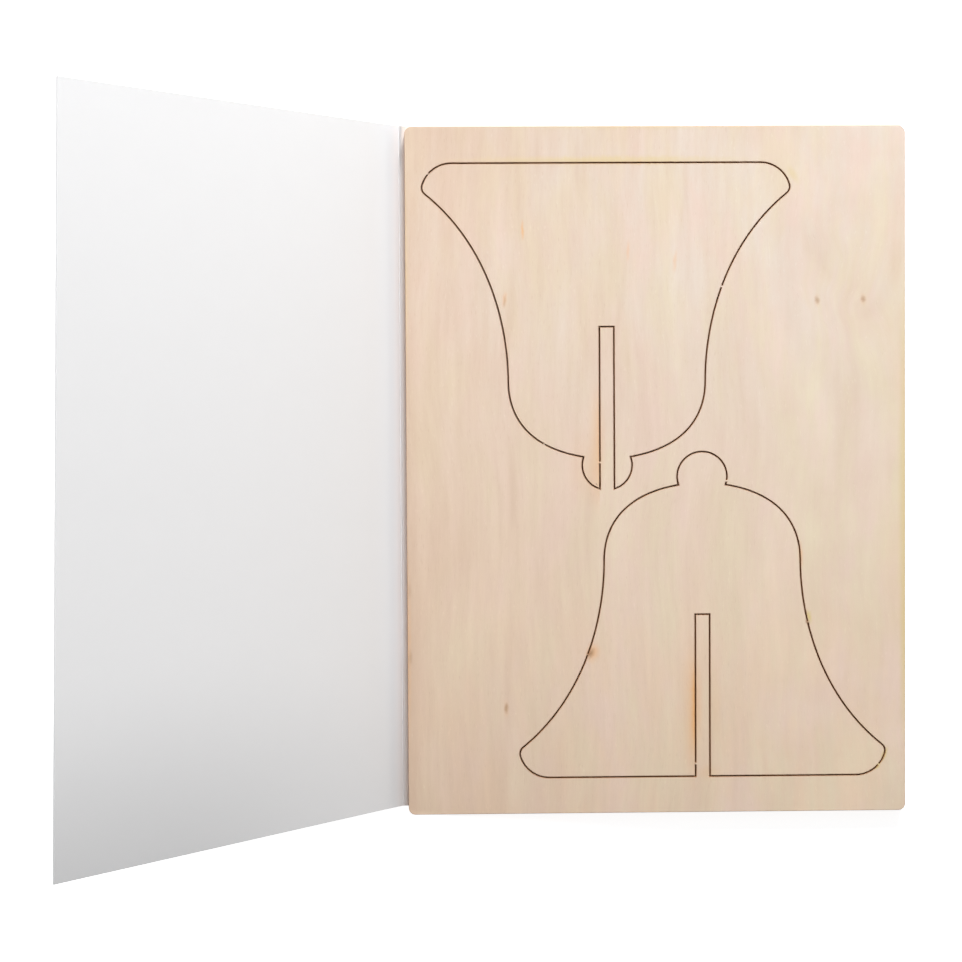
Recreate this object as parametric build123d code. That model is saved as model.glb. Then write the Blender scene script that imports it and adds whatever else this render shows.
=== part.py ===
from build123d import *
import math
import os

# A folded card lies on its back panel, with its cover standing open to the left.
# A sheet of plywood lies on the back panel. Two bell halves are cut out of the
# sheet and still held in it by small uncut bridges. Pressed out, the halves push
# together at their slots and make a bell that stands in the round.
#
# Millimetres. X runs from the fold towards the open edge, Y from the foot of the
# card to its head, and Z up from the surface that the card lies on. The origin is
# the middle of the back panel's underside.

# Bell outline, on the middle of the cut line, up from the middle of the mouth
bell_half_width = 40.12
lip_radius = 6.63
lip_end_angle = 16.3
tip_round = 1.83
tip_turn_angle = 51.0
waist_half_width = 21.52
waist_height = 47.44
flare_pull_low = 18.57
flare_pull_high = 11.12
shoulder_rise = 16.56
shoulder_pull_low = 8.07
shoulder_pull_high = 11.81
neck_half_width = 5.16
neck_slope_angle = 9.5
crown_radius = 5.46

# Plywood sheet round the two bells
board_thickness = 3.0
board_corner_radius = 1.5
margin_left = 3.7
margin_right = 4.5
margin_mouth = 7.88
bell_side_step = 10.38
crown_past_middle = 4.12

# Cut gap, slots and uncut bridges
kerf = 0.25
slot_play = 0.4
bridge_width = 0.35
lip_bridge_at = 0.67
left_flare_bridge_at = 0.545
right_flare_bridge_at = 0.7
shoulder_bridge_at = 0.645
neck_bridge_at = 0.08
mouth_slot_bridge_inset = 2.8
crown_slot_bridge_inset = 6.0

# Folded card
sheet_thickness = 0.35
fold_to_board = 1.2
board_past_open_edge = 0.4
board_past_foot = 1.55
card_past_head = 0.55
foot_cover_angle = 54.2
head_cover_angle = 55.8
fold_outer_radius = 0.9
bead_radius = 0.2

# Sizes that follow from the ones above
neck_height = waist_height + shoulder_rise
crown_middle = neck_height + math.sqrt(crown_radius**2 - neck_half_width**2)
bell_height = crown_middle + crown_radius
slot_depth = bell_height / 2
slot_width = board_thickness + slot_play - kerf
bridge_strip_length = 4 * kerf
board_width = margin_left + 2 * (bell_half_width + bell_side_step) + margin_right
board_height = 2 * (margin_mouth + bell_height - crown_past_middle)
panel_width = fold_to_board + board_width - board_past_open_edge
panel_height = board_height - board_past_foot + card_past_head

# Places that follow from them
fold_x = -panel_width / 2
back_panel_start = fold_x + fold_outer_radius + bead_radius
board_left = fold_x + fold_to_board
board_foot = -panel_height / 2 - board_past_foot
lower_bell_x = board_left + board_width - margin_right - bell_half_width
lower_bell_y = board_foot + margin_mouth
upper_bell_x = board_left + margin_left + bell_half_width
upper_bell_y = board_foot + board_height - margin_mouth


def card_profile(cover_angle, section_y):
    """Section across the fold and the cover, with the cover at this angle above the back panel."""
    turn = math.radians(cover_angle)
    along_cover = Vector(-math.cos(turn), 0, math.sin(turn))
    out_of_cover = Vector(-math.sin(turn), 0, -math.cos(turn))
    into_fold = Vector(math.sin(turn / 2), 0, math.cos(turn / 2))
    fold = Vector(fold_x, section_y, sheet_thickness)
    back_end = Vector(back_panel_start, section_y, 0)
    back_end_top = back_end + Vector(0, 0, sheet_thickness)

    outer_corner = fold - sheet_thickness / math.cos(turn / 2) * into_fold
    bend_run = fold_outer_radius * math.tan(turn / 2)
    bend_start = outer_corner + Vector(bend_run, 0, 0)
    bend_middle = outer_corner + fold_outer_radius * (1 / math.cos(turn / 2) - 1) * into_fold
    bend_end = outer_corner + bend_run * along_cover

    free_inner = fold + panel_width * along_cover
    free_outer = free_inner + sheet_thickness * out_of_cover
    bead_start = fold + bead_radius * along_cover
    bead_middle = fold + bead_radius * into_fold
    bead_end = fold + Vector(bead_radius, 0, 0)

    edges = [
        Line(back_end, bend_start),
        ThreePointArc(bend_start, bend_middle, bend_end),
        Line(bend_end, free_outer),
        Line(free_outer, free_inner),
        Line(free_inner, bead_start),
        ThreePointArc(bead_start, bead_middle, bead_end),
        Line(bead_end, back_end_top),
        Line(back_end_top, back_end),
    ]
    return make_face(edges)


def folded_card():
    """One sheet: flat back panel, rounded fold with a raised bead inside it, slightly twisted cover."""
    foot = card_profile(foot_cover_angle, -panel_height / 2)
    head = card_profile(head_cover_angle, panel_height / 2)
    cover = loft([foot, head], ruled=True)
    back_width = panel_width / 2 - back_panel_start
    back = Box(back_width, panel_height, sheet_thickness, align=Align.MIN)
    return Pos(back_panel_start, -panel_height / 2, 0) * back + cover


def half_outline(grow):
    """Edges of the bell's right half, from the mouth to the crown, this far outside the cut line's middle."""
    lip_end = math.radians(lip_end_angle)
    tip_from_lip = (lip_radius - tip_round) * Vector(math.cos(lip_end), -math.sin(lip_end))
    lip_middle = Vector(bell_half_width - tip_round - tip_from_lip.X, lip_radius)
    tip_middle = lip_middle + tip_from_lip
    waist = Vector(waist_half_width + grow, waist_height)
    slope = math.radians(neck_slope_angle)
    out_of_shoulder = Vector(math.sin(slope), math.cos(slope))
    down_the_shoulder = Vector(math.cos(slope), -math.sin(slope))
    neck_angle = neck_angle_on_crown(out_of_shoulder, grow)

    mouth = Line((0, -grow), lip_middle - Vector(0, lip_radius + grow))
    lip = CenterArc(lip_middle, lip_radius + grow, -90, 90 - lip_end_angle)
    tip = CenterArc(tip_middle, tip_round + grow, -lip_end_angle, lip_end_angle + tip_turn_angle)
    crown = CenterArc((0, crown_middle), crown_radius + grow, neck_angle, 90 - neck_angle)
    flare_low = tip @ 1 + flare_pull_low * (tip % 1)
    flare_high = waist - Vector(0, flare_pull_high)
    flare = Bezier(tip @ 1, flare_low, flare_high, waist)
    shoulder_low = waist + Vector(0, shoulder_pull_low)
    shoulder_high = crown @ 0 + shoulder_pull_high * down_the_shoulder
    shoulder = Bezier(waist, shoulder_low, shoulder_high, crown @ 0)
    return mouth, lip, tip, flare, shoulder, crown


def neck_angle_on_crown(out_of_shoulder, grow):
    """Angle on the crown's circle, in degrees, where the shoulder meets it once both have grown."""
    neck = Vector(neck_half_width, neck_height - crown_middle)
    out_of_crown = neck.normalized()
    both = out_of_crown + out_of_shoulder
    corner = neck + grow / (1 + out_of_crown.dot(out_of_shoulder)) * both
    return math.degrees(math.atan2(corner.Y, corner.X))


def slot(from_crown, grow):
    """The strip between the slot's sides, run out well past the bell at the crown or at the mouth."""
    run_out = crown_radius
    length = slot_depth - grow + run_out
    middle_y = bell_height + run_out - length / 2 if from_crown else length / 2 - run_out
    return Pos(0, middle_y) * Rectangle(slot_width - 2 * grow, length)


def slotted_bell(from_crown, grow):
    """Face of the bell less its slot, with its outline this far outside the cut line's middle."""
    right = Curve() + list(half_outline(grow))
    whole = make_face(right + mirror(right, about=Plane.YZ))
    return whole - slot(from_crown, grow)


def strip_across(edge, share):
    """A strip across the cut line, at this share of the edge's length."""
    run = edge % share
    turn = math.degrees(math.atan2(run.Y, run.X))
    return Pos(edge @ share) * Rot(0, 0, turn) * Rectangle(bridge_width, bridge_strip_length)


def bridge_strips(from_crown):
    """Strips where the wood was left uncut.

    Both halves have one at the right lip, one on the left flare and one in the slot. The half with its slot
    at the crown has one on the right shoulder, and the other half one on the right flare and one at the neck.
    """
    _, lip, _, flare, shoulder, crown = half_outline(0)
    strips = [strip_across(lip, lip_bridge_at), strip_across(mirror(flare, about=Plane.YZ), left_flare_bridge_at)]
    if from_crown:
        slot_start = Vector(slot_width / 2, bell_height)
        slot_side = Line(slot_start, slot_start - Vector(0, slot_depth))
        strips.append(strip_across(shoulder, shoulder_bridge_at))
        strips.append(strip_across(slot_side, crown_slot_bridge_inset / slot_depth))
    else:
        slot_start = Vector(-slot_width / 2, 0)
        slot_side = Line(slot_start, slot_start + Vector(0, slot_depth))
        strips.append(strip_across(flare, right_flare_bridge_at))
        strips.append(strip_across(crown, neck_bridge_at))
        strips.append(strip_across(slot_side, mouth_slot_bridge_inset / slot_depth))
    return strips


def bell_and_hole(from_crown):
    """The bell's own face, and the hole that it leaves in the sheet, bridges kept."""
    bell = slotted_bell(from_crown, -kerf / 2)
    window = slotted_bell(from_crown, kerf / 2)
    return bell, window - bridge_strips(from_crown) + bell


def board_pieces():
    """Solids of the plywood: the sheet round the bells, the upper bell half and the lower one."""
    lower_place = Pos(lower_bell_x, lower_bell_y, sheet_thickness)
    upper_place = Pos(upper_bell_x, upper_bell_y, sheet_thickness) * Rot(0, 0, 180)
    lower_bell, lower_hole = bell_and_hole(from_crown=False)
    upper_bell, upper_hole = bell_and_hole(from_crown=True)
    board = RectangleRounded(board_width, board_height, board_corner_radius)
    board_place = Pos(board_left + board_width / 2, board_foot + board_height / 2, sheet_thickness)
    surround = board_place * board - lower_place * lower_hole - upper_place * upper_hole
    faces = [surround, upper_place * upper_bell, lower_place * lower_bell]
    return [extrude(face, board_thickness) for face in faces]


surround, upper_bell_half, lower_bell_half = board_pieces()
nodes = {
    "folded_card": folded_card(),
    "plywood_surround": surround,
    "upper_bell_half": upper_bell_half,
    "lower_bell_half": lower_bell_half,
}
os.makedirs("parts", exist_ok=True)
for name, shape in nodes.items():
    export_step(shape, f"parts/{name}.step")
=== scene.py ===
"""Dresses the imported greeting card: a blank folded card and the sheet of laser-cut plywood that lies in it.

Metres, in the row frame: X from the fold to the open edge, Y from the foot to the head, Z up.
"""

import math

import bpy
import numpy as np
from bpy.props import FloatProperty, FloatVectorProperty, PointerProperty
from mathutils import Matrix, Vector
from mathutils.geometry import tessellate_polygon


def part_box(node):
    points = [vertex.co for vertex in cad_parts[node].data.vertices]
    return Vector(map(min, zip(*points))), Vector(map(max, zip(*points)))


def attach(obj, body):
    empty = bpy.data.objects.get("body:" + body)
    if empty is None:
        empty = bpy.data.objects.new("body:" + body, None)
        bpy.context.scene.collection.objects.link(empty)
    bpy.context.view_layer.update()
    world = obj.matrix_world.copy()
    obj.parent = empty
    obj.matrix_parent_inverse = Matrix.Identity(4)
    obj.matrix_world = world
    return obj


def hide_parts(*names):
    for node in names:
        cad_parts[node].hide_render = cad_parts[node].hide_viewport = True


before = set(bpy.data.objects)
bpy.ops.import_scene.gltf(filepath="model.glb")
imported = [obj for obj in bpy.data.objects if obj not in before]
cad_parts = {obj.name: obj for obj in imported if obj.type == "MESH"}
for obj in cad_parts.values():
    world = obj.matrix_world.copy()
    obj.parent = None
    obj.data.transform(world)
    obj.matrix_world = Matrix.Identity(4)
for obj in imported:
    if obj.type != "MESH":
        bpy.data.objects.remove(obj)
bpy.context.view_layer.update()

bl_info = {
    "name": "Press-out Greeting Card",
    "version": (1, 0, 0),
    "blender": (4, 5, 0),
    "location": "3D View > Sidebar > Card",
    "description": "Builds a folded card with a laser-cut plywood sheet of two slotted bell halves",
    "category": "Add Mesh",
}

MM = 0.001

card_low, card_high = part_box("folded_card")
board_low, board_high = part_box("plywood_surround")
upper_low, upper_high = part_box("upper_bell_half")
lower_low, lower_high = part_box("lower_bell_half")

fold_x = -card_high.x
board_thickness = board_high.z - board_low.z


# Settings that a user would change


def length(name, description, default):
    """A length property in metres."""
    return FloatProperty(
        name=name, description=description, default=default, min=0, unit="LENGTH", precision=5
    )


def angle(name, description, default):
    """An angle property whose default is given in degrees."""
    return FloatProperty(name=name, description=description, default=math.radians(default), unit="ROTATION")


def factor(name, description, default):
    """A property without a unit, such as a share of a length."""
    return FloatProperty(
        name=name, description=description, default=default, min=0, soft_max=1, subtype="FACTOR"
    )


def watts(name, description, default):
    """A property for a lamp's power."""
    return FloatProperty(name=name, description=description, default=default, min=0, unit="POWER")


def colour(name, description, default):
    """A colour property with linear red, green and blue."""
    return FloatVectorProperty(
        name=name, description=description, default=default, min=0, max=1, subtype="COLOR"
    )


class CardSizes(bpy.types.PropertyGroup):
    """Sizes of the folded sheet."""

    panel_width: length("Panel width", "From the fold to a free edge", 2 * card_high.x)
    panel_height: length("Panel height", "Along the fold", card_high.y - card_low.y)
    sheet: length("Sheet thickness", "Thickness of the card", board_low.z)
    rise_at_foot: angle("Rise at the foot", "Cover above the back panel at the foot", 54.2)
    rise_at_head: angle("Rise at the head", "Cover above the back panel at the head", 55.8)
    bend_radius: length("Bend radius", "Outside of the fold", 0.9 * MM)
    bead_radius: length("Bead radius", "Raised bead inside the fold", 0.2 * MM)
    edge_softness: length("Edge softness", "Rounding of the cut edges", 0.04 * MM)


class BoardSizes(bpy.types.PropertyGroup):
    """Sizes of the plywood sheet and its cuts."""

    corner_radius: length("Corner radius", "Corners of the sheet", 1.5 * MM)
    kerf: length("Kerf", "Width of wood that the laser burns away", 0.25 * MM)
    bridge_width: length("Bridge width", "Uncut wood left along the cut", 0.35 * MM)
    edge_softness: length("Edge softness", "Rounding of the burnt edges", 0.05 * MM)
    rim_reach: length("Rim reach", "Width of the finer mesh along a cut", 0.7 * MM)
    face_veneer: length("Face veneer", "Thickness of each outer ply", 0.9 * MM)


class BellSizes(bpy.types.PropertyGroup):
    """Sizes of the bell's outline on the middle of the cut, up from the middle of its mouth."""

    half_width: length("Half width", "Middle to the lip's tip", 40.12 * MM)
    lip_radius: length("Lip radius", "Round from the mouth to the tip", 6.63 * MM)
    lip_end: angle("Lip end", "How far below level the lip's round stops", 16.3)
    tip_round: length("Tip round", "Round at the tip of the lip", 1.83 * MM)
    tip_turn: angle("Tip turn", "How far the tip turns into the flare", 51.0)
    waist_half_width: length("Waist half width", "Middle to the waist", 21.52 * MM)
    waist_height: length("Waist height", "Mouth to the waist", 47.44 * MM)
    flare_pull_low: length("Flare pull, low", "Bow of the flare at the lip", 18.57 * MM)
    flare_pull_high: length("Flare pull, high", "Bow of the flare at the waist", 11.12 * MM)
    shoulder_rise: length("Shoulder rise", "Waist to the neck", 16.56 * MM)
    shoulder_pull_low: length("Shoulder pull, low", "Bow of the shoulder at the waist", 8.07 * MM)
    shoulder_pull_high: length("Shoulder pull, high", "Bow of the shoulder at the neck", 11.81 * MM)
    neck_half_width: length("Neck half width", "Middle to the neck's corner", 5.16 * MM)
    neck_slope: angle("Neck slope", "Slope of the shoulder at the neck", 9.5)
    crown_radius: length("Crown radius", "Round knob on top", 5.46 * MM)
    slot_play: length("Slot play", "Slot wider than the sheet is thick", 0.4 * MM)


class BridgePlaces(bpy.types.PropertyGroup):
    """Places where the wood was left uncut, on the middle of the cut."""

    lip: factor("Lip", "On the right lip, from the mouth to the tip", 0.67)
    left_flare: factor("Left flare", "On the left flare, from the tip to the waist", 0.545)
    right_flare: factor("Right flare", "On the lower half's right flare, from the tip to the waist", 0.7)
    shoulder: factor("Shoulder", "On the upper half's right shoulder, from the waist to the neck", 0.645)
    neck: factor("Neck", "On the lower half's crown, from the neck", 0.08)
    from_crown: length("From the crown", "Along the upper half's slot, from the crown's top", 6 * MM)
    from_mouth: length("From the mouth", "Along the lower half's slot, from the mouth", 2.8 * MM)


class FinishColours(bpy.types.PropertyGroup):
    """Colours of the paper, the wood and the burnt cuts, and of the painted light and shade on the paper."""

    paper: colour("Paper", "Uncoated white card", (0.87, 0.872, 0.88))
    # Painted light: the cover is painted lighter near the fold, where the plywood shades it
    painted_light_at_fold: colour("Paper at the fold", "Painted light on the cover near the fold", (0.91, 0.93, 0.96))
    # Painted shade: the card is painted darker towards the foot, farther from the key lamp
    painted_shade_at_foot: colour("Paper at the foot", "Painted shade towards the foot", (0.785, 0.787, 0.795))
    # Painted reflection: a warm tint for light that the burnt wall bounces into the gap beside the sheet
    paper_in_wall_bounce: colour("Paper in the wall's bounce", "Painted warm reflection of the burnt wall beside the sheet", (0.96, 0.87, 0.81))
    wood_head: colour("Wood at the head", "Paler end of the face veneer", (0.852, 0.757, 0.67))
    wood_foot: colour("Wood at the foot", "Warmer end of the face veneer", (0.902, 0.692, 0.512))
    wood_pink: colour("Pinkish wood", "Rosy patches of the veneer", (0.89, 0.695, 0.605))
    wood_gold: colour("Golden wood", "Yellow patches of the veneer", (0.86, 0.76, 0.55))
    wood_tan: colour("Tan wood", "Streaks and fibres along the grain", (0.68, 0.5, 0.37))
    honey: colour("Honey", "Yellow tint of the edges and of a few small marks", (0.76, 0.6, 0.27))
    knot: colour("Pin knots", "Small brown marks of the face veneer", (0.36, 0.2, 0.105))
    scorch: colour("Scorch", "Orange smoke beside a cut", (0.85, 0.44, 0.16))
    char: colour("Char", "Burnt walls of the cuts", (0.3, 0.116, 0.033))
    char_light: colour("Light char", "Browner bands of the burnt walls", (0.47, 0.22, 0.085))


class StageSettings(bpy.types.PropertyGroup):
    """Lamps, sky, floor and lens."""

    key_power: watts("Key power", "Soft lamp beyond the head", 17.7)
    side_power: watts("Side power", "Low narrow lamp at the left", 5)
    sky: factor("Sky", "Even light from all round", 0.2)
    floor: colour("Floor", "Floor under the card", (0.86, 0.86, 0.86))
    floor_glow: factor("Floor glow", "Light of the floor that only the camera sees", 0.82)
    lens: FloatProperty(
        name="Lens", description="Focal length on a sensor 36 mm wide", default=97.552, min=1, unit="CAMERA"
    )


class PressOutCard(bpy.types.PropertyGroup):
    """All settings of the card."""

    card: PointerProperty(type=CardSizes)
    board: PointerProperty(type=BoardSizes)
    bell: PointerProperty(type=BellSizes)
    bridges: PointerProperty(type=BridgePlaces)
    colours: PointerProperty(type=FinishColours)
    stage: PointerProperty(type=StageSettings)


# Material nodes

# Numbers of the sockets that a node has besides its first
TEXTURE_OBJECT = 3
ATTRIBUTE_NUMBER = 2
NOISE_COLOUR = 1
VECTOR_LENGTH = 1
MIX_FIRST, MIX_SECOND, MIX_COLOUR = 6, 7, 2
RAY_FROM_CAMERA, RAY_OF_GLOSS, RAY_THROUGH_GLASS = 0, 3, 6


class Number:
    """A number socket of a material, on which Python's operators add Math nodes."""

    def __init__(self, finish, socket):
        self.finish = finish
        self.socket = socket

    def maths(self, operation, first, second=0.0):
        return self.finish.node("ShaderNodeMath", {"operation": operation}, {0: first, 1: second})

    def __add__(self, other):
        return self.maths("ADD", self, other)

    def __radd__(self, other):
        return self.maths("ADD", other, self)

    def __sub__(self, other):
        return self.maths("SUBTRACT", self, other)

    def __rsub__(self, other):
        return self.maths("SUBTRACT", other, self)

    def __mul__(self, other):
        return self.maths("MULTIPLY", self, other)

    def __rmul__(self, other):
        return self.maths("MULTIPLY", other, self)

    def __truediv__(self, other):
        return self.maths("DIVIDE", self, other)

    def __abs__(self):
        return self.maths("ABSOLUTE", self)

    def larger(self, other):
        return self.maths("MAXIMUM", self, other)


class Finish:
    """A material or a sky being built, and the nodes that all of its patterns share."""

    def __init__(self, owner):
        owner.use_nodes = True
        self.owner = owner
        self.tree = owner.node_tree
        self.tree.nodes.clear()

    def node(self, kind, settings=None, values=None, output=0):
        """Adds one node: its settings first, then the values or links of its sockets."""
        made = self.tree.nodes.new(kind)
        for name, value in (settings or {}).items():
            setattr(made, name, value)
        for key, value in (values or {}).items():
            if isinstance(value, Number):
                self.tree.links.new(value.socket, made.inputs[key])
            else:
                made.inputs[key].default_value = value
        return Number(self, made.outputs[output]) if made.outputs else made

    def place(self):
        """Object coordinates, in metres."""
        return self.node("ShaderNodeTexCoord", output=TEXTURE_OBJECT)

    def part(self, place, axis):
        """One coordinate of a place."""
        return self.node("ShaderNodeSeparateXYZ", None, {"Vector": place}, axis)

    def value_of(self, name):
        """A number stored on the mesh under this name."""
        return self.node("ShaderNodeAttribute", {"attribute_name": name}, None, ATTRIBUTE_NUMBER)

    def ragged(self, place, across, along, size):
        """The place moved about by noise, at most half of these two lengths."""
        values = {"Vector": self.stretched(place, size, size), "Scale": 1.0, "Detail": 2.0}
        noise = self.node("ShaderNodeTexNoise", None, values, NOISE_COLOUR)
        centred = self.node("ShaderNodeVectorMath", {"operation": "SUBTRACT"}, {0: noise, 1: (0.5, 0.5, 0.5)})
        values = {0: centred, 1: (across, along, 0), 2: place}
        return self.node("ShaderNodeVectorMath", {"operation": "MULTIPLY_ADD"}, values)

    def stretched(self, place, across, along, shift=0.0):
        """Coordinates in which one unit is this far across the grain and this far along it."""
        values = {
            "Vector": place,
            "Location": (shift, shift, shift),
            "Scale": (1 / across, 1 / along, 1 / across),
        }
        return self.node("ShaderNodeMapping", None, values)

    def noise(self, place, across, along, detail=2.0, roughness=0.5, shift=0.0):
        """Noise from 0 to 1, drawn out along the grain."""
        values = {
            "Vector": self.stretched(place, across, along, shift),
            "Scale": 1.0,
            "Detail": detail,
            "Roughness": roughness,
        }
        return self.node("ShaderNodeTexNoise", None, values)

    def step(self, value, start, end):
        """0 before start, 1 after end and a smooth rise between them."""
        settings = {"interpolation_type": "SMOOTHSTEP", "clamp": True}
        values = {"Value": value, "From Min": start, "From Max": end, "To Min": 0.0, "To Max": 1.0}
        if end < start:
            values.update({"From Min": end, "From Max": start, "To Min": 1.0, "To Max": 0.0})
        return self.node("ShaderNodeMapRange", settings, values)

    def blend(self, first, second, share):
        """A colour between two colours."""
        settings = {"data_type": "RGBA", "clamp_factor": True}
        values = {0: share, MIX_FIRST: opaque(first), MIX_SECOND: opaque(second)}
        return self.node("ShaderNodeMix", settings, values, MIX_COLOUR)

    def shade(self, tone, amount):
        """A colour times a number."""
        return self.node("ShaderNodeVectorMath", {"operation": "SCALE"}, {0: tone, "Scale": amount})

    def marks(self, place, ovals):
        """Sum of ovals that fade to their edges, given as in the tables below."""
        total = 0.0
        for x, y, half_across, half_along, lean, strength in ovals:
            values = {
                "Vector": place,
                "Location": (x * MM, y * MM, 0),
                "Rotation": (0, 0, math.radians(lean)),
                "Scale": (half_across * MM, half_along * MM, 1),
            }
            oval = self.node("ShaderNodeMapping", {"vector_type": "TEXTURE"}, values)
            distance = self.node("ShaderNodeVectorMath", {"operation": "LENGTH"}, {0: oval}, VECTOR_LENGTH)
            total = total + strength * self.step(distance, 1.0, 0.0)
        return total

    def smoke(self, east, north, cut, reach, middle, half_along):
        """1 just left of a cut that runs with the grain, fading over this reach and towards both ends.

        It ends within the cut, so that the wood on the other side stays clean.
        """
        left = self.step(east, cut - reach, cut) * self.step(east, cut + 0.1 * MM, cut)
        full_strength = 0.3 * half_along
        return left * self.step(abs(north - middle), half_along, full_strength)

    def surface(self, tone, roughness, height, depth, specular):
        """Ends the material: a Principled surface with this colour, roughness, bump and gloss."""
        values = {"Base Color": tone, "Roughness": roughness, "Specular IOR Level": specular}
        bump = {"Strength": 1.0, "Distance": depth, "Height": height}
        values["Normal"] = self.node("ShaderNodeBump", None, bump)
        shader = self.node("ShaderNodeBsdfPrincipled", None, values)
        self.node("ShaderNodeOutputMaterial", None, {"Surface": shader})
        return self.owner


def opaque(tone):
    """A colour with the fourth channel that a colour socket takes, or a link as it is."""
    return tone if isinstance(tone, Number) else (*tone[:3], 1.0)


WOOD_NAME = "Laser_cut_plywood"

# Ovals: middle's x and y, half width and half length in millimetres, lean to the left in degrees, strength
KNOTTY_AREA = [(41.5, 39, 20, 26, 0, 1)]
TAN_STREAKS = [
    (-28.8, 57, 1.3, 19, 0, 0.2),
    (-31.5, 29, 1.5, 17, -5, 0.2),
    (-30.5, -5, 1.5, 23, 2, 0.16),
    (-31.9, -44, 1.4, 21, 0, 0.14),
    (-24.8, 68, 1.6, 9, 0, 0.16),
    (-16.8, 66, 1.5, 10, 0, 0.14),
    (-7.2, 34, 1.1, 16, -7, 0.14),
    (6.7, 55, 1.1, 15, -6, 0.12),
    (-14.3, -14, 1.4, 20, -4, 0.12),
    (-42.3, 20, 1.6, 30, 0, 0.1),
    (36.7, 45, 2.5, 11, 28, 0.1),
    (47.2, 33.5, 5, 2.6, 20, 0.12),
    (53.2, 44, 1.8, 9, 0, 0.2),
    (-54, -50, 4.5, 110, 0, 0.4),
]
BROWN_MARKS = [
    (36.1, 36.05, 0.8, 1.3, 0, 0.5),
    (46.2, 36.25, 0.7, 1.1, 10, 0.5),
    (-32.3, -52.85, 0.7, 1.5, -4, 0.6),
    (-32.2, 36, 0.45, 2, -8, 0.3),
    (-13.8, -40.9, 1.1, 1.7, -18, 0.85),
    (-53.3, -27, 0.6, 2.5, 0, 0.22),
    (-53.2, -41.5, 0.7, 2.2, 0, 0.3),
    (33.85, -34.4, 0.7, 1, 14, 0.95),
    (-14.4, -41.2, 0.5, 0.6, 0, 0.5),
]
ORANGE_MARKS = [
    (-28.2, 51.5, 0.5, 2.9, 0, 0.6),
    (-32.2, 36.5, 0.8, 2.4, -8, 0.4),
    (-5.2, 47, 0.6, 3.4, -4, 0.3),
    (5, 44.6, 0.7, 3.8, -6, 0.3),
    (-2.6, 66.2, 1, 0.9, 0, 0.2),
    (36.1, 35.9, 1, 2.1, 0, 0.22),
    (46.2, 36.2, 1, 1.9, 0, 0.22),
    (-32.3, -53, 0.9, 2.7, 0, 0.22),
    (-13.3, -40.8, 2.2, 2.9, -18, 0.55),
    (-15, 0, 5, 11, 0, 0.12),
    (-11.4, 6, 1.5, 13, 0, 0.2),
    (9.6, -53, 1.5, 15, 0, 0.28),
    (13.6, -52, 1.8, 15, 0, 0.12),
    (32.4, -19.6, 0.8, 4, 3, 0.42),
    (-53.7, -40, 1, 30, 0, 0.28),
    (11.9, -67.4, 4, 2.4, 0, 0.16),
]
HONEY_MARKS = [
    (55.6, -8, 2.2, 62, 0, 0.6),
    (55.6, -46, 2, 30, 0, 0.4),
    (34.2, -33.2, 0.8, 2.1, 12, 1),
    (50.8, -63.7, 0.8, 2.4, -21, 1),
    (49.3, -66.3, 0.65, 1.6, -38, 1),
    (30.9, 63.4, 1.3, 3, 30, 0.4),
    (-54.2, 40, 1.6, 34, 0, 0.35),
    (-0.3, 74.2, 50, 1.2, 0, 0.35),
    (55.6, 30, 8, 48, 0, 0.25),
    (54.5, -25, 8, 34, 0, 0.2),
    (-10, 66.6, 43, 1.4, 0, 0.55),
]

# Smoke at a slot: the bell, strength, and in millimetres its reach, its middle's y and its half length
SLOT_SMOKE = [
    ("lower", 0.38, 1.6, -53, 12),
    ("lower", 0.24, 3.4, -53, 20),
    ("lower", 0.08, 6, -56, 17),
    ("upper", 0.3, 3, 4, 17),
]


def paper_finish(colours):
    """Uncoated card: white with a faint cloudiness and a fine fibre tooth.

    It has painted light on the cover near the fold and painted shade towards the foot, most of all at the
    cover's free corner. Beside the plywood it has a painted warm reflection of the burnt wall, and a painted
    shadow at the head.
    """
    finish = Finish(bpy.data.materials.new("Uncoated_card"))
    place = finish.place()
    east, north = finish.part(place, 0), finish.part(place, 1)
    cloud = finish.noise(place, 9 * MM, 9 * MM, detail=3)
    fibre = finish.noise(place, 0.22 * MM, 0.7 * MM, detail=3, roughness=0.6)
    tone = finish.shade(colours.paper, 0.99 + 0.012 * cloud + 0.008 * fibre)

    # Painted light: the cover is painted lighter near the fold, where the plywood shades it.
    fold_light_mask = finish.step(east, fold_x - 7 * MM, fold_x) * finish.step(east, board_low.x, fold_x)
    # Painted shade: the card is painted darker towards the foot, farther from the key lamp.
    foot_shade_mask = finish.step(north, 0.47 * card_low.y, 1.07 * card_low.y)
    tone = finish.blend(tone, colours.painted_light_at_fold, fold_light_mask)
    tone = finish.blend(tone, colours.painted_shade_at_foot, foot_shade_mask)

    # Painted shade at the cover's free corner, and a painted shadow in the gap beside the sheet at the head
    # end.
    over_the_cover = finish.step(east, fold_x, 1.9 * fold_x)
    painted_corner_shade = over_the_cover * finish.step(north, 0.4 * card_low.y, 1.25 * card_low.y)
    past_fold = finish.step(east, fold_x - 0.2 * MM, fold_x + 0.3 * MM)
    beside_sheet = past_fold * finish.step(east, board_low.x + 0.5 * MM, board_low.x)
    # Painted shadow where the lamp would light the gap beside the sheet at the head end
    painted_head_shadow = beside_sheet * finish.step(north, 0.84 * card_high.y, 0.93 * card_high.y)
    tone = finish.shade(tone, 1 - 0.19 * painted_corner_shade - 0.45 * painted_head_shadow)
    # Painted reflection: a warm tint for light that the burnt wall bounces onto the card beside the sheet.
    tone = finish.blend(tone, colours.paper_in_wall_bounce, 0.8 * finish.step(east, fold_x, board_low.x))
    return finish.surface(tone, 0.82 + 0.1 * fibre, fibre, depth=0.012 * MM, specular=0.3)


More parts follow.
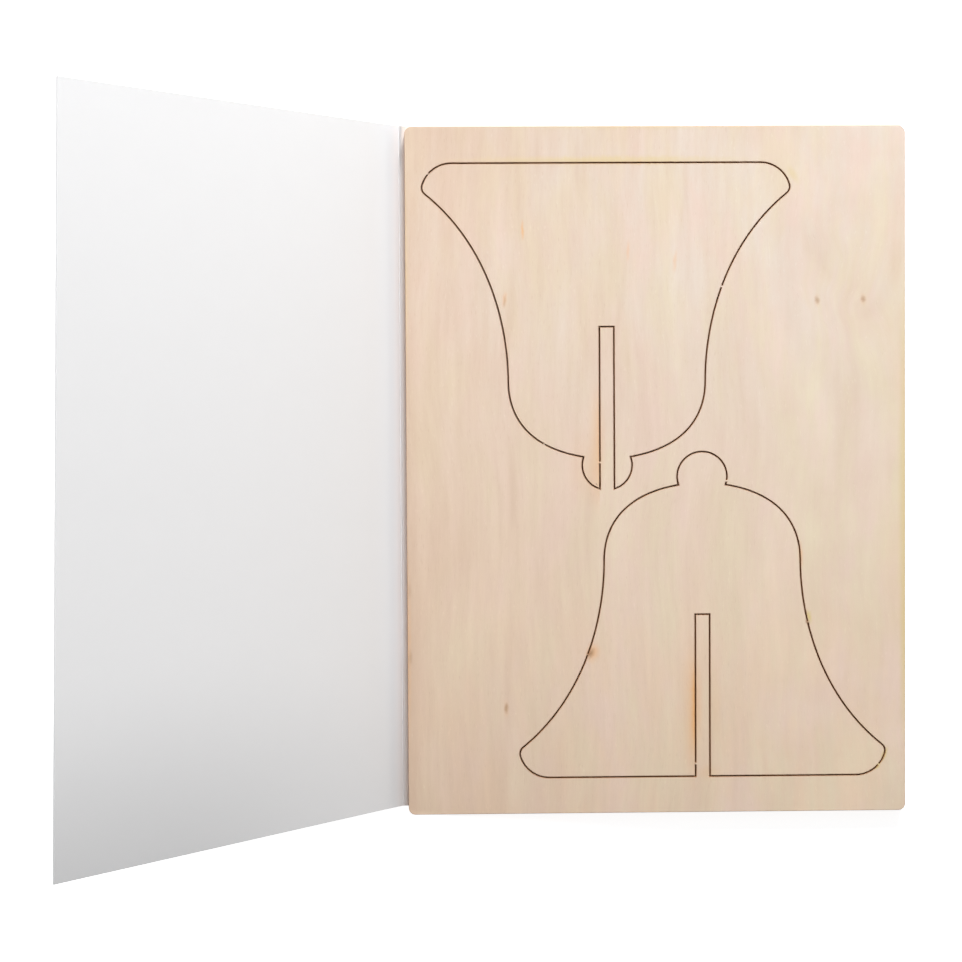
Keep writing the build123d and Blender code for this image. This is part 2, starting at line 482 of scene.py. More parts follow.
def wood_finish(settings):
    """Plywood: a pale, straight-grained face, browned beside the laser's cuts and burnt on their walls."""
    finish = Finish(bpy.data.materials.new(WOOD_NAME))
    place = finish.place()
    ragged = finish.ragged(place, 0.5 * MM, 1.2 * MM, 1.1 * MM)
    colours = settings.colours
    tone, fibre, pore = veneer(finish, place, colours)
    smoke = smoke_at_slots(finish, place, ragged, settings.bell.slot_play)
    tone = finish.blend(tone, colours.honey, finish.marks(ragged, HONEY_MARKS))
    tone = finish.blend(tone, colours.scorch, finish.marks(ragged, ORANGE_MARKS) + smoke)
    tone = finish.blend(tone, colours.knot, finish.marks(ragged, BROWN_MARKS))
    tone = browned(finish, place, tone, colours)
    wall = finish.value_of("wall")
    tone = finish.blend(tone, burnt(finish, place, tone, smoke, settings), wall)
    height = fibre - 0.8 * pore
    roughness = 0.62 + 0.12 * fibre + 0.15 * wall
    return finish.surface(tone, roughness, height, depth=0.02 * MM, specular=0.35)


def veneer(finish, place, colours):
    """The face veneer's colour, its fibres and its pores.

    It warms from head to foot and has rosy and golden patches. Tan streaks, fibres and pores run with the
    grain. They are strongest at the fold's side and at both ends, and calm towards the open edge. On top of
    that the tan falls evenly from the fold's side to the open edge: painted shade towards the fold and
    painted light towards the open edge, for light that falls from the right.
    grain. They are strongest at the fold's side and at both ends, and calm towards the open edge.
    """
    east, north = finish.part(place, 0), finish.part(place, 1)
    bent = bent_grain(finish, place, east, north)
    rosy = finish.noise(bent, 9.5 * MM, 22 * MM, detail=5, roughness=0.62, shift=7.3)
    golden = finish.noise(bent, 7.5 * MM, 28 * MM, detail=5, roughness=0.62, shift=3.1)
    tone = finish.blend(colours.wood_foot, colours.wood_head, finish.step(north, board_low.y, board_high.y))
    tone = finish.blend(tone, colours.wood_pink, 0.8 * finish.step(rosy, 0.35, 0.68))
    tone = finish.blend(tone, colours.wood_gold, 0.7 * finish.step(golden, 0.38, 0.7))

    broad = finish.noise(bent, 13 * MM, 80 * MM, detail=2, shift=2.2) - 0.5
    middling = finish.noise(bent, 7 * MM, 40 * MM, detail=2, shift=8.1) - 0.5
    band = finish.noise(bent, 3.6 * MM, 30 * MM, detail=3) - 0.5
    streak = finish.noise(bent, 1.3 * MM, 13 * MM, detail=3, shift=1.7) - 0.5
    cloud = finish.noise(place, 10 * MM, 12 * MM, detail=3, shift=6.4) - 0.5
    fibre = finish.noise(bent, 0.3 * MM, 4 * MM, detail=3, roughness=0.6)
    pore = finish.step(finish.noise(bent, 0.16 * MM, 1.8 * MM, detail=1, shift=5.9), 0.64, 0.78)
    fleck = finish.step(finish.noise(bent, 0.3 * MM, 1.4 * MM, detail=1, shift=9.4), 0.66, 0.78)

    across, along = east / (50 * MM), north / (75 * MM)
    calm = finish.step(east, 12 * MM, 36 * MM)
    # The across term is painted shade towards the fold and painted light towards the open edge.
    tan = 0.3 - 0.24 * across + 0.04 * across * across + 0.13 * along * along
    tan = tan + 0.42 * broad + 0.3 * middling + (0.36 - 0.1 * calm) * (band + streak) + 0.5 * calm * cloud
    tan = tan + (0.22 - 0.09 * calm) * (fibre - 0.5) + 0.26 * (1 - 0.5 * calm) * pore - 0.16 * fleck
    tan = tan + finish.marks(finish.ragged(place, 1.6 * MM, 5 * MM, 9 * MM), TAN_STREAKS)
    return finish.blend(tone, colours.wood_tan, tan), fibre, pore


def bent_grain(finish, place, east, north):
    """The place moved to the side by noise, so that the grain sways, and swirls by the knots."""
    by_the_knots = finish.marks(place, KNOTTY_AREA)
    sway = finish.noise(place, 60 * MM, 45 * MM, detail=1) - 0.5
    swirl = finish.noise(place, 16 * MM, 22 * MM, detail=2, shift=4.6) - 0.5
    bent_east = east + 7 * MM * sway + 16 * MM * by_the_knots * swirl
    return finish.node("ShaderNodeCombineXYZ", None, {"X": bent_east, "Y": north})


def smoke_at_slots(finish, place, ragged, slot_play):
    """Smoke on the left of both slots, with a ragged edge."""
    half_slot = (board_thickness + slot_play) / 2
    sides = {
        "upper": (upper_low.x + upper_high.x) / 2 - half_slot,
        "lower": (lower_low.x + lower_high.x) / 2 - half_slot,
    }
    torn_east, north = finish.part(ragged, 0), finish.part(place, 1)
    total = 0.0
    for bell, strength, reach, middle, half_along in SLOT_SMOKE:
        smoke = finish.smoke(torn_east, north, sides[bell], reach * MM, middle * MM, half_along * MM)
        total = total + strength * smoke
    return total


def browned(finish, place, tone, colours):
    """The wood's colour under an uneven orange halo and a charred rim along each cut."""
    from_cut, burn, heat = (finish.value_of(name) for name in ("from_cut", "burn", "heat"))
    uneven = finish.noise(place, 1.3 * MM, 1.3 * MM, detail=3)
    spread = from_cut / (0.7 + 0.6 * uneven)
    halo = 0.36 * finish.step(spread, 0.75 * MM, 0.0) + 0.35 * finish.step(spread, 0.28 * MM, 0.0)
    rim = finish.step(from_cut, 0.24 * MM, 0.02 * MM)
    tone = finish.blend(tone, colours.scorch, halo * heat)
    return finish.blend(tone, colours.char, 0.6 * rim * burn)


def burnt(finish, place, tone, smoke, settings):
    """Colour of a cut's wall: char with upright stripes, lighter and speckled between the two glue lines."""
    up = finish.part(place, 2)
    lower_glue = board_low.z + settings.board.face_veneer
    upper_glue = board_high.z - settings.board.face_veneer
    glue = 0.05 * MM
    core = finish.step(up, lower_glue, lower_glue + glue) * finish.step(up, upper_glue, upper_glue - glue)
    speckle = finish.noise(place, 0.16 * MM, 0.16 * MM, detail=2)
    stripe, stripe_height = 0.2 * MM, 4 * MM
    values = {"Vector": place, "Scale": (1 / stripe, 1 / stripe, 1 / stripe_height)}
    upright = finish.node("ShaderNodeMapping", None, values)
    stripes = finish.node("ShaderNodeTexNoise", None, {"Vector": upright, "Scale": 1.0, "Detail": 2.0})
    lighter = 0.15 + 0.35 * stripes + core * (0.15 + 0.5 * speckle) + 0.6 * smoke
    char = finish.blend(settings.colours.char, settings.colours.char_light, lighter)
    return finish.blend(tone, char, 0.8 + 0.2 * finish.value_of("burn"))


# Lines on the sheet: each run is an array of points and one of outward normals

# Space between points round a small corner, along a curve, along a bell's straight runs and the sheet's
CORNER_SPACING = 0.1 * MM
CURVE_SPACING = 0.25 * MM
STRAIGHT_SPACING = 1.5 * MM
SIDE_SPACING = 3 * MM

# A corner is sharp if the cosine of its turn is below this, and is kept clear this many rims wide
SHARP_CORNER = 0.8
CLEAR_RIMS = 1.75

# Length along the line in which a bridge's wall steps across the cut
BRIDGE_STEP = 0.01 * MM


def straight(start, end, spacing):
    """Points evenly from start to end: start plus a share of the whole step.

    The normal is the step turned right.
    """
    start, end = np.array(start, float), np.array(end, float)
    step = end - start
    count = max(2, int(np.linalg.norm(step) / spacing) + 1)
    share = np.linspace(0, 1, count)[:, None]
    normal = np.array([step[1], -step[0]]) / np.linalg.norm(step)
    return start + share * step, np.tile(normal, (count, 1))


def straights(corners):
    """Straight runs from each of these corners to the next."""
    return [straight(start, end, STRAIGHT_SPACING) for start, end in zip(corners, corners[1:])]


def round_arc(middle, radius, start, turn, spacing):
    """Middle plus radius times the cosine and sine of an angle that runs evenly from start through turn."""
    count = max(5, int(abs(turn) * radius / spacing) + 1)
    turned = np.linspace(start, start + turn, count)
    spokes = np.column_stack([np.cos(turned), np.sin(turned)])
    return np.array(middle) + radius * spokes, spokes


def bow(start, pull_start, pull_end, end, spacing):
    """Cubic Bezier: the four points weighted by the cubic Bernstein terms.

    The normal is the curve's tangent turned right.
    """
    corners = np.array([start, pull_start, pull_end, end], float)
    count = int(np.linalg.norm(np.diff(corners, axis=0), axis=1).sum() / spacing) + 1
    t = np.linspace(0, 1, count)[:, None]
    weights = np.hstack([(1 - t) ** 3, 3 * t * (1 - t) ** 2, 3 * t**2 * (1 - t), t**3])
    steps = np.hstack([(1 - t) ** 2, 2 * t * (1 - t), t**2])
    tangent = steps @ np.diff(corners, axis=0)
    tangent /= np.linalg.norm(tangent, axis=1)[:, None]
    return weights @ corners, np.column_stack([tangent[:, 1], -tangent[:, 0]])


def mirrored(run):
    """The run on the bell's other side, walked the other way: X changes sign and the order is reversed."""
    return tuple(part[::-1] * (-1, 1) for part in run)


def bell_half_runs(bell, crown_end):
    """Runs of the bell's right half from its lip to its crown, the crown stopping at this angle."""
    lip_end = np.array([math.cos(bell.lip_end), -math.sin(bell.lip_end)])
    tip_from_lip = (bell.lip_radius - bell.tip_round) * lip_end
    lip_middle = np.array([bell.half_width - bell.tip_round - tip_from_lip[0], bell.lip_radius])
    tip_middle = lip_middle + tip_from_lip
    waist = np.array([bell.waist_half_width, bell.waist_height])
    neck = np.array([bell.neck_half_width, bell.waist_height + bell.shoulder_rise])
    crown_middle = np.array([0, neck[1] + math.sqrt(bell.crown_radius**2 - bell.neck_half_width**2)])
    down_the_shoulder = np.array([math.cos(bell.neck_slope), -math.sin(bell.neck_slope)])
    neck_angle = math.atan2(*(neck - crown_middle)[::-1])

    lip_turn = math.pi / 2 - bell.lip_end
    lip = round_arc(lip_middle, bell.lip_radius, -math.pi / 2, lip_turn, CURVE_SPACING)
    tip_turn = bell.lip_end + bell.tip_turn
    tip = round_arc(tip_middle, bell.tip_round, -bell.lip_end, tip_turn, CORNER_SPACING)
    leaving = np.array([-math.sin(bell.tip_turn), math.cos(bell.tip_turn)])
    flare_start = tip[0][-1]
    flare_low = flare_start + bell.flare_pull_low * leaving
    flare_high = waist - (0, bell.flare_pull_high)
    flare = bow(flare_start, flare_low, flare_high, waist, CURVE_SPACING)
    shoulder_low = waist + (0, bell.shoulder_pull_low)
    shoulder_high = neck + bell.shoulder_pull_high * down_the_shoulder
    shoulder = bow(waist, shoulder_low, shoulder_high, neck, CURVE_SPACING)
    crown = round_arc(crown_middle, bell.crown_radius, neck_angle, crown_end - neck_angle, CURVE_SPACING)
    return [lip, tip, flare, shoulder, crown]


def bell_runs(settings, from_crown):
    """All runs round a slotted bell, counter-clockwise, and the place of each uncut bridge on them.

    A bridge's place is the number of its run and the share of that run before it. The left flare is walked
    from the waist to the tip.
    """
    bell, bridges = settings.bell, settings.bridges
    height = bell_height(bell)
    end = height / 2
    half_slot = (board_thickness + bell.slot_play - settings.board.kerf) / 2
    crown_end = math.acos(half_slot / bell.crown_radius) if from_crown else math.pi / 2
    half = bell_half_runs(bell, crown_end)
    other_half = [mirrored(run) for run in half[::-1]]
    lip_start = half[0][0][0]
    other_lip_start = (-lip_start[0], 0)
    # Numbers of the right half's runs, which follow the mouth's
    lip, flare, shoulder, crown = 1, 3, 4, 5
    if from_crown:
        top = half[-1][0][-1]
        slot = straights([top, (half_slot, end), (-half_slot, end), (-top[0], top[1])])
        runs = straights([other_lip_start, lip_start]) + half + slot + other_half
        slot_side, left_flare = 6, 11
        down_the_slot = (bridges.from_crown - (height - top[1])) / (top[1] - end)
        places = [(lip, bridges.lip), (shoulder, bridges.shoulder), (slot_side, down_the_slot)]
        return runs, places + [(left_flare, 1 - bridges.left_flare)]
    slot = straights([(-half_slot, 0), (-half_slot, end), (half_slot, end), (half_slot, 0)])
    right, left = straights([(half_slot, 0), lip_start]), straights([other_lip_start, (-half_slot, 0)])
    runs = right + half + other_half + left + slot
    left_flare, slot_side = 8, 12
    places = [(lip, bridges.lip), (flare, bridges.right_flare), (crown, bridges.neck)]
    return runs, places + [(left_flare, 1 - bridges.left_flare), (slot_side, bridges.from_mouth / end)]


def bell_height(bell):
    """Mouth to the top of the crown: waist, shoulder, the crown's middle above the neck, and its radius."""
    above_neck = math.sqrt(bell.crown_radius**2 - bell.neck_half_width**2)
    return bell.waist_height + bell.shoulder_rise + above_neck + bell.crown_radius


def board_runs(corner_radius):
    """Rounded rectangle, counter-clockwise from the foot: four straight runs and four quarter circles."""
    x0, y0, x1, y1 = board_low.x, board_low.y, board_high.x, board_high.y
    r = corner_radius
    coarse, fine = SIDE_SPACING, CORNER_SPACING
    quarter = math.pi / 2
    return [
        straight((x0 + r, y0), (x1 - r, y0), coarse),
        round_arc((x1 - r, y0 + r), r, -quarter, quarter, fine),
        straight((x1, y0 + r), (x1, y1 - r), coarse),
        round_arc((x1 - r, y1 - r), r, 0, quarter, fine),
        straight((x1 - r, y1), (x0 + r, y1), coarse),
        round_arc((x0 + r, y1 - r), r, quarter, quarter, fine),
        straight((x0, y1 - r), (x0, y0 + r), coarse),
        round_arc((x0 + r, y0 + r), r, 2 * quarter, quarter, fine),
    ]


def closed_line(runs, clearance):
    """Joins runs into one closed line, with the length along it at each point and the runs' first points.

    Where two runs meet, the normal is the sum of theirs over one plus the cosine between them. A sharp
    corner has no other points within this clearance, so that a rim along the line can't cross itself.
    """
    points, outward = [], []
    for before, (own, normals), after in zip(runs[-1:] + runs[:-1], runs, runs[1:] + runs[:1]):
        turned = before[1][-1] @ normals[0]
        mitre = (before[1][-1] + normals[0]) / (1 + turned)
        kept = np.ones(len(own) - 2, bool)
        if turned < SHARP_CORNER:
            kept &= np.linalg.norm(own[1:-1] - own[0], axis=1) > clearance
        if normals[-1] @ after[1][0] < SHARP_CORNER:
            kept &= np.linalg.norm(own[1:-1] - own[-1], axis=1) > clearance
        points.append(np.vstack([own[:1], own[1:-1][kept]]))
        outward.append(np.vstack([mitre, normals[1:-1][kept]]))
    starts = np.cumsum([0] + [len(part) for part in points])[:-1]
    points, outward = np.concatenate(points), np.concatenate(outward)
    steps = np.linalg.norm(np.roll(points, -1, axis=0) - points, axis=1)
    along = np.concatenate([[0], np.cumsum(steps)])
    return points, outward, along, starts


def read_off(places, along, values):
    """Values of a closed line's points, read off at these lengths along it."""
    return np.column_stack([np.interp(places, along, np.append(column, column[0])) for column in values.T])


def line_with_bridges(runs, bridges, board):
    """The closed line with points added at the ends of each bridge, and a mask that is 1 along bridges."""
    points, outward, along, starts = closed_line(runs, CLEAR_RIMS * board.rim_reach)
    ends = np.append(along[starts], along[-1])
    middles = np.array([ends[run] + share * (ends[run + 1] - ends[run]) for run, share in bridges])
    half = board.bridge_width / 2
    stops = middles[:, None] + np.array([-half - BRIDGE_STEP, -half, 0, half, half + BRIDGE_STEP])
    places = np.unique(np.concatenate([along[:-1], stops.ravel()]))
    held = (np.abs(places[:, None] - middles) <= half + BRIDGE_STEP / 2).any(axis=1)
    return read_off(places, along, points), read_off(places, along, outward), held.astype(float)


def placed(line, x, y, turned=False):
    """The line moved to x and y, after half a turn where it stands upside down."""
    points, outward, held = line
    sign = -1 if turned else 1
    return sign * points + (x, y), sign * outward, held


# Plates of plywood

# Shares of its softness, its char and its smoke that a cut's edge loses along a bridge
CRISPER_BRIDGE = 0.9
PALER_BRIDGE = 0.75
COOLER_BRIDGE = 0.2


def edge_section(board):
    """Section of a cut edge, from the underside round to the face.

    The inset runs in from the wall and the height up from the underside. Both faces have a rim of three
    points, each softened corner has points at 0, 45 and 90 degrees, and the wall has one at each glue line.
    """
    thick = board_thickness
    soft = board.edge_softness
    slack = soft * (1 - math.sqrt(0.5))
    rim = board.rim_reach * np.array([1, 0.5, 0.25])
    wall = np.array([soft, board.face_veneer, thick - board.face_veneer, thick - soft])
    inset = np.concatenate([rim, [soft, slack], 0 * wall, [slack, soft], rim[::-1]])
    height = np.concatenate([0 * rim, [0, slack], wall, [thick - slack, thick], 0 * rim + thick])
    return inset, height


def cut_edge(line, board, into_wood, wall_offset, open_offset, burn):
    """The edge's section carried along a closed line, as rings of points with their finish values.

    A point lies at the line plus its offset times the outward normal. The offset is the inset towards the
    wood plus the wall's own, which changes across the rim to that of the open cut. A bridge steps the wall
    across the cut and keeps its corners nearly sharp.
    """
    points, outward, held = line
    inset, height = edge_section(board)
    in_corner = inset <= board.edge_softness
    sharp = 1 - CRISPER_BRIDGE * held[None, :] * in_corner[:, None]
    ring_inset = inset[:, None] * sharp
    upper = height > board_thickness / 2
    to_face = np.where(upper, board_thickness - height, height)
    drop = to_face[:, None] * np.where((to_face <= board.edge_softness)[:, None], sharp, 1)
    rise = np.where(upper[:, None], board_thickness - drop, drop)
    fade = (1 - inset / board.rim_reach)[:, None]
    offset = fade * wall_offset + (1 - fade) * open_offset + into_wood * ring_inset
    flat = points[None] + offset[..., None] * outward[None]
    rings = np.concatenate([flat, (board_low.z + rise)[..., None]], axis=2)
    on_wall = (inset < board.edge_softness).astype(float)
    finish_values = {
        "from_cut": np.broadcast_to(inset[:, None], rise.shape),
        "wall": np.broadcast_to(on_wall[:, None], rise.shape),
        "burn": np.broadcast_to(burn * (1 - PALER_BRIDGE * held), rise.shape),
        "heat": np.broadcast_to(burn * (1 - COOLER_BRIDGE * held), rise.shape),
    }
    return rings, finish_values, into_wood > 0


def grid_quads(rows, columns, first, flipped):
    """Quads between neighbouring rings of a grid whose columns close on themselves."""
    row, column = np.meshgrid(np.arange(rows - 1), np.arange(columns), indexing="ij")
    here = row * columns + column
    beside = row * columns + (column + 1) % columns
    quads = np.stack([here, beside, beside + columns, here + columns], -1).reshape(-1, 4) + first
    return quads[:, ::-1] if flipped else quads


def filled(loops, numbers, upwards):
    """Triangles over the flat area between closed loops, all facing up or all facing down."""
    triangles = np.array(tessellate_polygon([[Vector(point) for point in loop] for loop in loops]))
    flat = np.concatenate(loops)
    a, b, c = (flat[triangles[:, corner], :2] for corner in range(3))
    turn = (b[:, 0] - a[:, 0]) * (c[:, 1] - a[:, 1]) - (b[:, 1] - a[:, 1]) * (c[:, 0] - a[:, 0])
    wrong = (turn > 0) != upwards
    triangles[wrong] = triangles[wrong][:, ::-1]
    return np.concatenate(numbers)[triangles]


def plate(name, edges):
    """A flat plate with the given cut edges, its two faces filled between their innermost rings."""
    points, faces, values, first = [], [], {key: [] for key in edges[0][1]}, 0
    under, over, under_numbers, over_numbers = [], [], [], []
    for rings, finish_values, flipped in edges:
        rows, columns = rings.shape[:2]
        points.append(rings.reshape(-1, 3))
        faces += grid_quads(rows, columns, first, flipped).tolist()
        for key, grid in finish_values.items():
            values[key].append(grid.ravel())
        under.append(rings[0])
        over.append(rings[-1])
        under_numbers.append(first + np.arange(columns))
        over_numbers.append(first + (rows - 1) * columns + np.arange(columns))
        first += rows * columns
    faces += filled(under, under_numbers, False).tolist()
    faces += filled(over, over_numbers, True).tolist()
    piece = new_piece(name, np.concatenate(points), faces, sharp_angle=60)
    for key, parts in values.items():
        layer = piece.data.attributes.new(key, "FLOAT", "POINT")
        layer.data.foreach_set("value", np.concatenate(parts).astype(np.float32))
    return piece


def new_piece(name, points, faces, sharp_angle):
    """A smooth-shaded mesh object at the origin, with edges sharper than this many degrees kept crisp."""
    mesh = bpy.data.meshes.new(name)
    mesh.from_pydata(points.tolist(), [], faces)
    if mesh.validate():
        raise RuntimeError(f"the mesh of {name} had faults")
    mesh.shade_smooth()
    mesh.set_sharp_from_angle(angle=math.radians(sharp_angle))
    piece = bpy.data.objects.new(name, mesh)
    bpy.context.scene.collection.objects.link(piece)
    return piece


# The folded sheet

# Points round the bend, round the bead and across each panel, and sections from the foot to the head
BEND_POINTS = 17
BEAD_POINTS = 15
PANEL_POINTS = 30
SECTIONS = 25


def fold_section(card, rise):
    """Points round the sheet's section at this rise, as x and z pairs.

    The outside runs from the back panel's free edge under it, round the bend and up the cover. The inside
    comes down the cover, over the bead and back along the panel. The bend is an arc that meets both panels
    in tangents, and the bead is one about the fold's inner corner.
    """
    along_cover = np.array([-math.cos(rise), math.sin(rise)])
    out_of_cover = np.array([-math.sin(rise), -math.cos(rise)])
    into_fold = np.array([math.sin(rise / 2), math.cos(rise / 2)])
    fold = np.array([-card.panel_width / 2, card.sheet])
    free_edge = card.panel_width / 2
    bend_run = card.bend_radius * math.tan(rise / 2)
    outer_corner = fold - card.sheet / math.cos(rise / 2) * into_fold
    bend_middle = outer_corner + np.array([bend_run, card.bend_radius])
    swing = -math.pi / 2 - np.linspace(0, rise, BEND_POINTS)
    bend = bend_middle + card.bend_radius * np.column_stack([np.cos(swing), np.sin(swing)])

    cover_inner = fold + card.panel_width * along_cover
    cover_outer = cover_inner + card.sheet * out_of_cover
    start = math.atan2(along_cover[1], along_cover[0])
    turns = np.linspace(start, 0, BEAD_POINTS)
    bead = fold + card.bead_radius * np.column_stack([np.cos(turns), np.sin(turns)])

    evenly = np.linspace(0, 1, PANEL_POINTS)
    panel = np.linspace(free_edge, bend[0][0], PANEL_POINTS)[:-1]
    under = np.column_stack([panel, 0 * panel])
    outside = bend[-1] + evenly[1:, None] * (cover_outer - bend[-1])
    just_above_bead = 0.999
    descent = np.append(evenly[:-1], just_above_bead)[:, None]
    inside = cover_inner + descent * (bead[0] - cover_inner)
    back = np.linspace(bead[-1][0], free_edge, PANEL_POINTS)[1:]
    top = np.column_stack([back, 0 * back + card.sheet])
    return np.concatenate([under, bend, outside, inside, bead, top])


def card_mesh(card):
    """Ruled surface with closed ends: the foot's section and the head's, mixed evenly up the height."""
    foot, head = fold_section(card, card.rise_at_foot), fold_section(card, card.rise_at_head)
    share = np.linspace(0, 1, SECTIONS)[:, None, None]
    sections = (1 - share) * foot + share * head
    heights = card.panel_height * (share - 0.5) + 0 * sections[..., :1]
    rings = np.concatenate([sections[..., :1], heights, sections[..., 1:]], axis=2)
    rows, columns = rings.shape[:2]
    faces = grid_quads(rows, columns, 0, False).tolist()
    last = (rows - 1) * columns
    faces += end_faces(foot, 0, False)
    faces += end_faces(head, last, True)
    return new_piece("folded_sheet", rings.reshape(-1, 3), faces, sharp_angle=40)


def end_faces(section, first, at_head):
    """Triangles that close one end of the sheet, facing away from it."""
    loop = np.column_stack([section, np.zeros(len(section))])
    return filled([loop], [first + np.arange(len(loop))], at_head).tolist()


# Operators

# Each bell half's piece and node, and whether its slot starts at the crown
BELLS = (("upper_bell", "upper_bell_half", True), ("lower_bell", "lower_bell_half", False))


def sizes():
    """The settings of this scene."""
    return bpy.context.scene.press_out_card


def dress(piece, material, slot, *nodes):
    """Gives a piece its material and its places in the frame."""
    piece.data.materials.append(material)
    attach(piece, "root")
    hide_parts(*nodes)


def wood():
    """The plywood's material, made once and shared by its pieces."""
    return bpy.data.materials.get(WOOD_NAME) or wood_finish(sizes())


def bell_line(from_crown):
    """The closed line of one bell half in its place on the sheet."""
    board = sizes().board
    line = line_with_bridges(*bell_runs(sizes(), from_crown), board)
    half_kerf = board.kerf / 2
    if from_crown:
        return placed(line, (upper_low.x + upper_high.x) / 2, upper_high.y + half_kerf, turned=True)
    return placed(line, (lower_low.x + lower_high.x) / 2, lower_low.y - half_kerf)


class CARD_OT_folded_sheet(bpy.types.Operator):
    """Add the blank sheet, scored and folded once"""

    bl_idname = "press_out_card.folded_sheet"
    bl_label = "Folded Sheet"

    def execute(self, context):
        piece = card_mesh(sizes().card)
        soft = piece.modifiers.new("Soft edges", "BEVEL")
        soft.width = sizes().card.edge_softness
        soft.segments = 2
        soft.limit_method = "ANGLE"
        soft.angle_limit = math.radians(50)
        soft.harden_normals = True
        dress(piece, paper_finish(sizes().colours), "card", "folded_card")
        return {"FINISHED"}


class CARD_OT_plywood_surround(bpy.types.Operator):
    """Add the plywood round the bells, with its bridges and the two tongues in their slots"""

    bl_idname = "press_out_card.plywood_surround"
    bl_label = "Plywood Surround"

    def execute(self, context):
        board = sizes().board
        half_kerf = board.kerf / 2
        outline = line_with_bridges(board_runs(board.corner_radius), [], board)
        edges = [cut_edge(outline, board, into_wood=-1, wall_offset=0, open_offset=0, burn=0.3)]
        for from_crown in (True, False):
            line = bell_line(from_crown)
            held = line[2]
            wall = half_kerf * (1 - 2 * held)
            edges.append(cut_edge(line, board, into_wood=1, wall_offset=wall, open_offset=half_kerf, burn=1))
        dress(plate("plywood_sheet", edges), wood(), "plywood", "plywood_surround")
        return {"FINISHED"}


class CARD_OT_bell_halves(bpy.types.Operator):
    """Add the two slotted bell halves, still held in the sheet"""

    bl_idname = "press_out_card.bell_halves"
    bl_label = "Bell Halves"

    def execute(self, context):
        board = sizes().board
        inwards = -board.kerf / 2
        for name, node, from_crown in BELLS:
            line = bell_line(from_crown)
            edge = cut_edge(line, board, into_wood=-1, wall_offset=inwards, open_offset=inwards, burn=1)
            dress(plate(name, [edge]), wood(), "plywood", node)
        return {"FINISHED"}


class CARD_OT_stage(bpy.types.Operator):
    """Add the floor, the lamps, the even sky and the camera"""

    bl_idname = "press_out_card.stage"
    bl_label = "Stage"

    def execute(self, context):
        stage = sizes().stage
        add_floor(stage)
        add_lamps(stage)
        add_sky(stage)
        add_camera(stage)
        context.scene.view_settings.view_transform = "Standard"
        return {"FINISHED"}


def seen_directly(finish):
    """1 for rays from the camera and for what gloss or glass shows of it, 0 for light on the card."""
    outputs = (RAY_FROM_CAMERA, RAY_OF_GLOSS, RAY_THROUGH_GLASS)
    rays = [finish.node("ShaderNodeLightPath", None, None, output) for output in outputs]
    return rays[0].larger(rays[1]).larger(rays[2])


def add_floor(stage):
    """A wide flat floor just under the card, whose own glow only the camera sees."""
    reach, gap = 2.5, 0.02 * MM
    corners = np.array([(-1, -1), (1, -1), (1, 1), (-1, 1)]) * reach
    points = np.column_stack([corners, np.full(4, -gap)])
    floor = new_piece("floor", points, [[0, 1, 2, 3]], sharp_angle=30)
    finish = Finish(bpy.data.materials.new("Pale_floor"))
    matt = finish.node("ShaderNodeBsdfDiffuse", None, {"Color": opaque(stage.floor)})
    glow = finish.node("ShaderNodeEmission", None, {"Strength": stage.floor_glow * seen_directly(finish)})
    both = finish.node("ShaderNodeAddShader", None, {0: matt, 1: glow})
    finish.node("ShaderNodeOutputMaterial", None, {"Surface": both})
    floor.data.materials.append(finish.owner)


def add_lamps(stage):
    """A soft lamp beyond the head, and a low narrow one for the cover's outside and its free edge."""
    middle, free_edge = Vector((0, 0, 0)), Vector((card_low.x, 0, card_high.z))
    key_sides, key_place = (0.3, 0.5), Vector((0.09, 0.9, 0.42))
    side_sides, side_place = (0.06, 0.2), Vector((-1.1, 0.04, 0.25))
    add_lamp("Key", stage.key_power, key_sides, key_place, middle)
    add_lamp("Side", stage.side_power, side_sides, side_place, free_edge)


def add_lamp(name, power, sides, place, target):
    """One rectangular lamp with these two sides, aimed at its target."""
    lamp = bpy.data.lights.new(name, "AREA")
    lamp.shape = "RECTANGLE"
    lamp.size, lamp.size_y = sides
    lamp.energy = power
    holder = bpy.data.objects.new(name, lamp)
    holder.location = place
    holder.rotation_euler = (target - place).to_track_quat("-Z", "Y").to_euler()
    holder.visible_camera = False
    bpy.context.scene.collection.objects.link(holder)


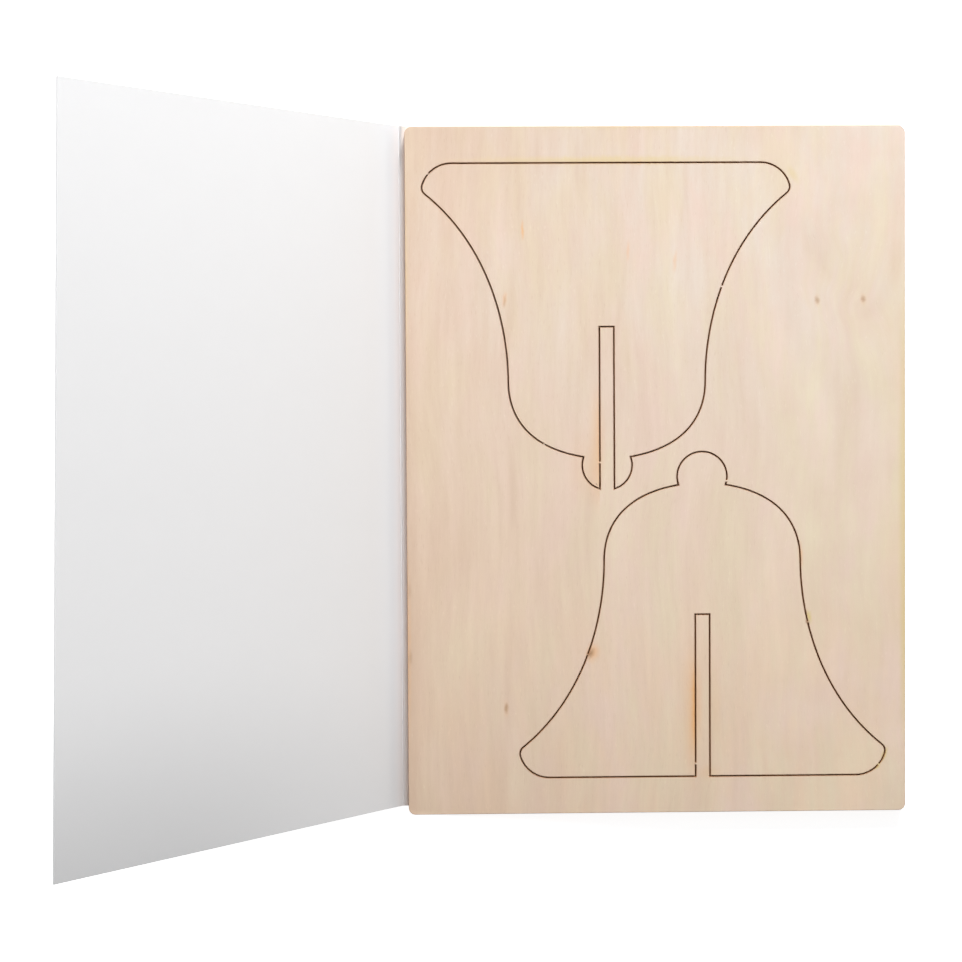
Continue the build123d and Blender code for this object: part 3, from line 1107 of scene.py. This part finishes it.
def add_sky(stage):
    """Even light from all round, which the camera sees as plain white."""
    sky = Finish(bpy.data.worlds.new("Studio"))
    bpy.context.scene.world = sky.owner
    white = (1, 1, 1, 1)
    light = sky.node("ShaderNodeBackground", None, {"Color": white, "Strength": stage.sky})
    plain = sky.node("ShaderNodeBackground", None, {"Color": white, "Strength": 1.0})
    shown = sky.node("ShaderNodeMixShader", None, {0: seen_directly(sky), 1: light, 2: plain})
    sky.node("ShaderNodeOutputWorld", None, {"Surface": shown})


def add_camera(stage):
    """A long lens high above the open side of the fold, looking almost straight down."""
    place = Vector((-52.13, 15.856, 571.67)) * MM
    turns_in_degrees = (-1.894, -1.479, -0.333)
    data = bpy.data.cameras.new("Camera")
    data.sensor_width = 36
    data.lens = stage.lens
    data.clip_start = 0.01
    camera = bpy.data.objects.new("Camera", data)
    camera.location = place
    camera.rotation_euler = [math.radians(turn) for turn in turns_in_degrees]
    bpy.context.scene.collection.objects.link(camera)
    bpy.context.scene.camera = camera


class CARD_PT_pieces(bpy.types.Panel):
    """The pieces of the card and their settings."""

    bl_idname = "CARD_PT_pieces"
    bl_label = "Press-out Greeting Card"
    bl_space_type = "VIEW_3D"
    bl_region_type = "UI"
    bl_category = "Card"

    def draw(self, context):
        settings = context.scene.press_out_card
        for operator in OPERATORS:
            self.layout.operator(operator.bl_idname)
        for group_name in PressOutCard.__annotations__:
            group = getattr(settings, group_name)
            box = self.layout.box()
            for name in group.__annotations__:
                box.prop(group, name)


OPERATORS = (CARD_OT_folded_sheet, CARD_OT_plywood_surround, CARD_OT_bell_halves, CARD_OT_stage)
GROUPS = (CardSizes, BoardSizes, BellSizes, BridgePlaces, FinishColours, StageSettings, PressOutCard)


def register():
    """Adds the card's classes and settings to Blender."""
    for item in GROUPS + OPERATORS + (CARD_PT_pieces,):
        bpy.utils.register_class(item)
    bpy.types.Scene.press_out_card = PointerProperty(type=PressOutCard)


def unregister():
    """Takes the card's classes and settings out of Blender."""
    del bpy.types.Scene.press_out_card
    for item in reversed(GROUPS + OPERATORS + (CARD_PT_pieces,)):
        bpy.utils.unregister_class(item)


def main():
    """Registers the card's classes and builds every piece and the stage."""
    register()
    bpy.ops.press_out_card.folded_sheet()
    bpy.ops.press_out_card.plywood_surround()
    bpy.ops.press_out_card.bell_halves()
    bpy.ops.press_out_card.stage()


if __name__ == "__main__":
    main()
